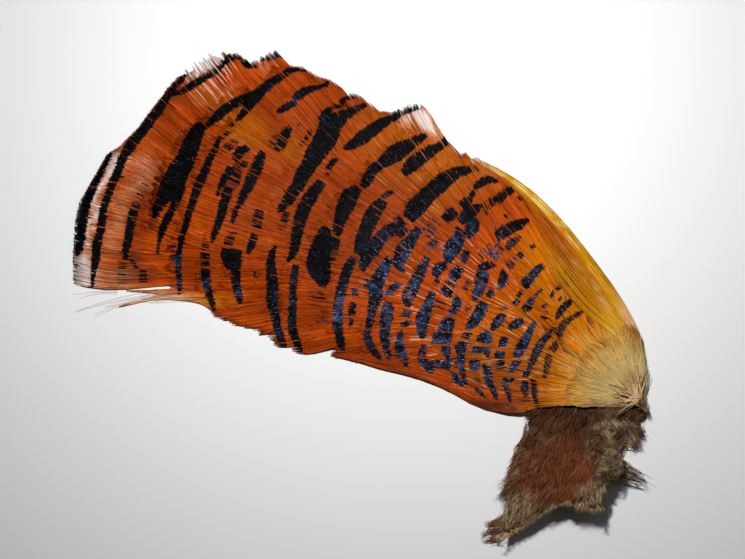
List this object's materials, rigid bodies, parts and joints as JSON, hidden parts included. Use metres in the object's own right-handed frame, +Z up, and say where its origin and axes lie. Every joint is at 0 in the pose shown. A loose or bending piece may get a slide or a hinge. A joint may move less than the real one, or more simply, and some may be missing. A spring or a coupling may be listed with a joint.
{
  "type": "golden pheasant tippet",
  "caption": "Natural feather cape on its dried skin: overlapping orange feathers with black bars, a golden crest edge, a cream crown and a rust-brown face flap, lying flat.",
  "frame": {"origin": "on the flat underside of the nape skin, near its middle", "axes": "+X towards the crown of the head, along the length; +Y towards the crest side; +Z up from the surface it lies on"},
  "size_m": [0.1211, 0.103, 0.009],
  "materials": {
    "tippet_vane": "silky orange barbs with black bars that have a blue gloss",
    "crest_vane": "glossy golden strands",
    "crown_down": "soft matt cream down",
    "skin_and_face_down": "matt dried hide under rust-brown face feathers"
  },
  "bodies": {
    "root": {"tippet_01": "tippet_vane", "tippet_02": "tippet_vane", "tippet_03": "tippet_vane", "tippet_04": "tippet_vane", "tippet_05": "tippet_vane", "tippet_06": "tippet_vane", "tippet_07": "tippet_vane", "tippet_08": "tippet_vane", "tippet_09": "tippet_vane", "tippet_10": "tippet_vane", "tippet_11": "tippet_vane", "tippet_12": "tippet_vane", "tippet_13": "tippet_vane", "tippet_14": "tippet_vane", "tippet_15": "tippet_vane", "tippet_16": "tippet_vane", "tippet_17": "tippet_vane", "tippet_18": "tippet_vane", "tippet_19": "tippet_vane", "tippet_20": "tippet_vane", "tippet_21": "tippet_vane", "tippet_22": "tippet_vane", "tippet_23": "tippet_vane", "tippet_24": "tippet_vane", "tippet_25": "tippet_vane", "tippet_26": "tippet_vane", "tippet_27": "tippet_vane", "tippet_28": "tippet_vane", "tippet_29": "tippet_vane", "tippet_30": "tippet_vane", "tippet_31": "tippet_vane", "tippet_32": "tippet_vane", "tippet_33": "tippet_vane", "tippet_34": "tippet_vane", "tippet_35": "tippet_vane", "tippet_36": "tippet_vane", "tippet_37": "tippet_vane", "tippet_38": "tippet_vane", "tippet_39": "tippet_vane", "tippet_40": "tippet_vane", "tippet_41": "tippet_vane", "tippet_42": "tippet_vane", "tippet_43": "tippet_vane", "tippet_44": "tippet_vane", "tippet_45": "tippet_vane", "tippet_46": "tippet_vane", "tippet_47": "tippet_vane", "tippet_48": "tippet_vane", "tippet_49": "tippet_vane", "tippet_50": "tippet_vane", "tippet_51": "tippet_vane", "tippet_52": "tippet_vane", "crest_feather_1": "crest_vane", "crest_feather_2": "crest_vane", "crest_feather_3": "crest_vane", "crest_feather_4": "crest_vane", "crown_feather_1": "crown_down", "crown_feather_2": "crown_down", "crown_feather_3": "crown_down", "skin_and_face_feathers": "skin_and_face_down"}
  },
  "joints": []
}
